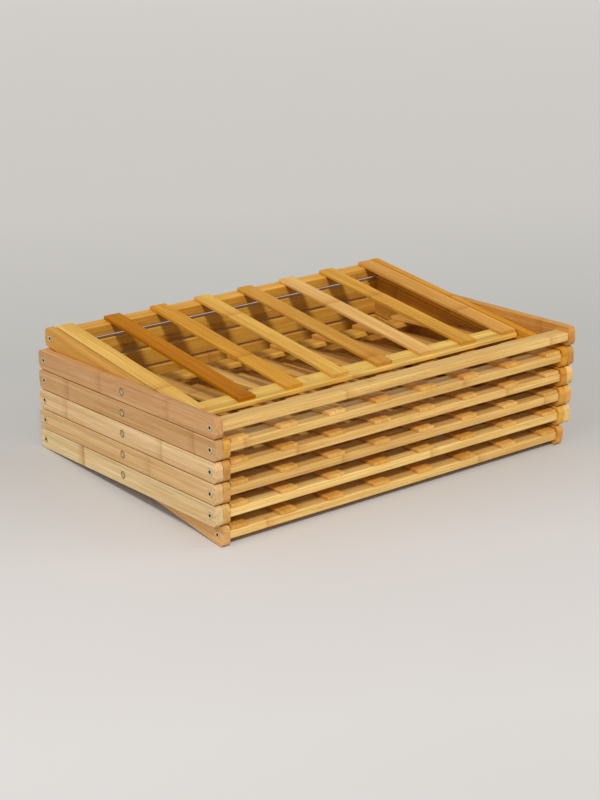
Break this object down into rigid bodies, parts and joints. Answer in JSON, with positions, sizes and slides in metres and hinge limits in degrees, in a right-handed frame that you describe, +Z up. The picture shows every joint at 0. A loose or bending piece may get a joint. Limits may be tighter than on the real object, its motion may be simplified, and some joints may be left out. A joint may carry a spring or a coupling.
{
  "type": "folding slatted rack",
  "caption": "Slatted wooden rack on crossed lazy-tong sides; folds flat and opens into level shelves one above another.",
  "frame": {"origin": "on the ground, under the middle of the folded rack", "axes": "+X along the shelves to the right as seen from the front, -Y towards the front, +Z up"},
  "size_m": [0.5256, 0.3638, 0.1496],
  "materials": {
    "outer_bars": "pale carbonised bamboo, satin",
    "inner_bars": "pale carbonised bamboo, satin",
    "front_rails": "light bamboo, satin",
    "rear_rails": "light bamboo, satin",
    "slats": "honey bamboo, satin, tone differs from slat to slat",
    "strips": "light bamboo, satin",
    "screws": "zinc plated",
    "rivets": "zinc plated"
  },
  "bodies": {
    "base_rail": {"rear_rail_1": "rear_rails", "rear_screws_1": "screws"},
    "outer_frame_1": {"outer_bar_1_left": "outer_bars", "outer_bar_1_right": "outer_bars", "pivot_rivets_1": "rivets"},
    "inner_frame_1": {"inner_bar_1_left": "inner_bars", "inner_bar_1_right": "inner_bars"},
    "outer_frame_2": {"outer_bar_2_left": "outer_bars", "outer_bar_2_right": "outer_bars", "pivot_rivets_2": "rivets", "rear_rail_2": "rear_rails", "rear_screws_2": "screws"},
    "inner_frame_2": {"inner_bar_2_left": "inner_bars", "inner_bar_2_right": "inner_bars"},
    "outer_frame_3": {"outer_bar_3_left": "outer_bars", "outer_bar_3_right": "outer_bars", "pivot_rivets_3": "rivets", "rear_rail_3": "rear_rails", "rear_screws_3": "screws"},
    "inner_frame_3": {"inner_bar_3_left": "inner_bars", "inner_bar_3_right": "inner_bars"},
    "outer_frame_4": {"outer_bar_4_left": "outer_bars", "outer_bar_4_right": "outer_bars", "pivot_rivets_4": "rivets", "rear_rail_4": "rear_rails", "rear_screws_4": "screws"},
    "inner_frame_4": {"inner_bar_4_left": "inner_bars", "inner_bar_4_right": "inner_bars"},
    "outer_frame_5": {"outer_bar_5_left": "outer_bars", "outer_bar_5_right": "outer_bars", "pivot_rivets_5": "rivets", "rear_rail_5": "rear_rails", "end_frame_screws": "screws", "front_rail_6": "front_rails"},
    "inner_frame_5": {"inner_bar_5_left": "inner_bars", "inner_bar_5_right": "inner_bars"},
    "shelf_1": {"front_rail_1": "front_rails", "shelf_slats_1": "slats", "shelf_strip_1": "strips", "front_screws_1": "screws"},
    "shelf_2": {"front_rail_2": "front_rails", "shelf_slats_2": "slats", "shelf_strip_2": "strips", "front_screws_2": "screws"},
    "shelf_3": {"front_rail_3": "front_rails", "shelf_slats_3": "slats", "shelf_strip_3": "strips", "front_screws_3": "screws"},
    "shelf_4": {"front_rail_4": "front_rails", "shelf_slats_4": "slats", "shelf_strip_4": "strips", "front_screws_4": "screws"},
    "shelf_5": {"front_rail_5": "front_rails", "shelf_slats_5": "slats", "shelf_strip_5": "strips", "front_screws_5": "screws"},
    "shelf_6": {"rear_rail_6": "rear_rails", "shelf_slats_6": "slats", "shelf_strip_6": "strips", "top_shelf_screws": "screws"}
  },
  "joints": [
    {"name": "fold", "type": "hinge", "parent": "base_rail", "child": "outer_frame_1", "pos_m": [0, 0.17054, 0.0123], "axis": [-1, 0, 0], "range_deg": [0, 28.71]},
    {"name": "cross_pivot_1", "type": "hinge", "parent": "outer_frame_1", "child": "inner_frame_1", "pos_m": [0, 0, 0.0248], "axis": [1, 0, 0], "range_deg": [0, 57.42]},
    {"name": "rear_pivot_2", "type": "hinge", "parent": "inner_frame_1", "child": "outer_frame_2", "pos_m": [0, 0.17054, 0.0373], "axis": [-1, 0, 0], "range_deg": [0, 57.42]},
    {"name": "cross_pivot_2", "type": "hinge", "parent": "outer_frame_2", "child": "inner_frame_2", "pos_m": [0, 0, 0.0498], "axis": [1, 0, 0], "range_deg": [0, 57.42]},
    {"name": "rear_pivot_3", "type": "hinge", "parent": "inner_frame_2", "child": "outer_frame_3", "pos_m": [0, 0.17054, 0.0623], "axis": [-1, 0, 0], "range_deg": [0, 57.42]},
    {"name": "cross_pivot_3", "type": "hinge", "parent": "outer_frame_3", "child": "inner_frame_3", "pos_m": [0, 0, 0.0748], "axis": [1, 0, 0], "range_deg": [0, 57.42]},
    {"name": "rear_pivot_4", "type": "hinge", "parent": "inner_frame_3", "child": "outer_frame_4", "pos_m": [0, 0.17054, 0.0873], "axis": [-1, 0, 0], "range_deg": [0, 57.42]},
    {"name": "cross_pivot_4", "type": "hinge", "parent": "outer_frame_4", "child": "inner_frame_4", "pos_m": [0, 0, 0.0998], "axis": [1, 0, 0], "range_deg": [0, 57.42]},
    {"name": "rear_pivot_5", "type": "hinge", "parent": "inner_frame_4", "child": "outer_frame_5", "pos_m": [0, 0.17054, 0.1123], "axis": [-1, 0, 0], "range_deg": [0, 57.42]},
    {"name": "cross_pivot_5", "type": "hinge", "parent": "outer_frame_5", "child": "inner_frame_5", "pos_m": [0, 0, 0.1248], "axis": [1, 0, 0], "range_deg": [0, 57.42]},
    {"name": "shelf_pivot_1", "type": "hinge", "parent": "inner_frame_1", "child": "shelf_1", "pos_m": [0, -0.17054, 0.0123], "axis": [-1, 0, 0], "range_deg": [0, 26.59]},
    {"name": "shelf_pivot_2", "type": "hinge", "parent": "outer_frame_1", "child": "shelf_2", "pos_m": [0, -0.17054, 0.0373], "axis": [1, 0, 0], "range_deg": [0, 33.3]},
    {"name": "shelf_pivot_3", "type": "hinge", "parent": "outer_frame_2", "child": "shelf_3", "pos_m": [0, -0.17054, 0.0623], "axis": [1, 0, 0], "range_deg": [0, 33.7]},
    {"name": "shelf_pivot_4", "type": "hinge", "parent": "outer_frame_3", "child": "shelf_4", "pos_m": [0, -0.17054, 0.0873], "axis": [1, 0, 0], "range_deg": [0, 34.1]},
    {"name": "shelf_pivot_5", "type": "hinge", "parent": "outer_frame_4", "child": "shelf_5", "pos_m": [0, -0.17054, 0.1123], "axis": [1, 0, 0], "range_deg": [0, 34.5]},
    {"name": "shelf_pivot_6", "type": "hinge", "parent": "inner_frame_5", "child": "shelf_6", "pos_m": [0, 0.17054, 0.1373], "axis": [-1, 0, 0], "range_deg": [0, 32.9]}
  ],
  "couplings": [
    {"joint": "cross_pivot_1", "follows": "fold", "ratio": 2},
    {"joint": "rear_pivot_2", "follows": "fold", "ratio": 2},
    {"joint": "cross_pivot_2", "follows": "fold", "ratio": 2},
    {"joint": "rear_pivot_3", "follows": "fold", "ratio": 2},
    {"joint": "cross_pivot_3", "follows": "fold", "ratio": 2},
    {"joint": "rear_pivot_4", "follows": "fold", "ratio": 2},
    {"joint": "cross_pivot_4", "follows": "fold", "ratio": 2},
    {"joint": "rear_pivot_5", "follows": "fold", "ratio": 2},
    {"joint": "cross_pivot_5", "follows": "fold", "ratio": 2},
    {"joint": "shelf_pivot_1", "follows": "fold", "ratio": 0.92624},
    {"joint": "shelf_pivot_2", "follows": "fold", "ratio": 1.16},
    {"joint": "shelf_pivot_3", "follows": "fold", "ratio": 1.1739},
    {"joint": "shelf_pivot_4", "follows": "fold", "ratio": 1.1878},
    {"joint": "shelf_pivot_5", "follows": "fold", "ratio": 1.2018},
    {"joint": "shelf_pivot_6", "follows": "fold", "ratio": 1.146}
  ]
}
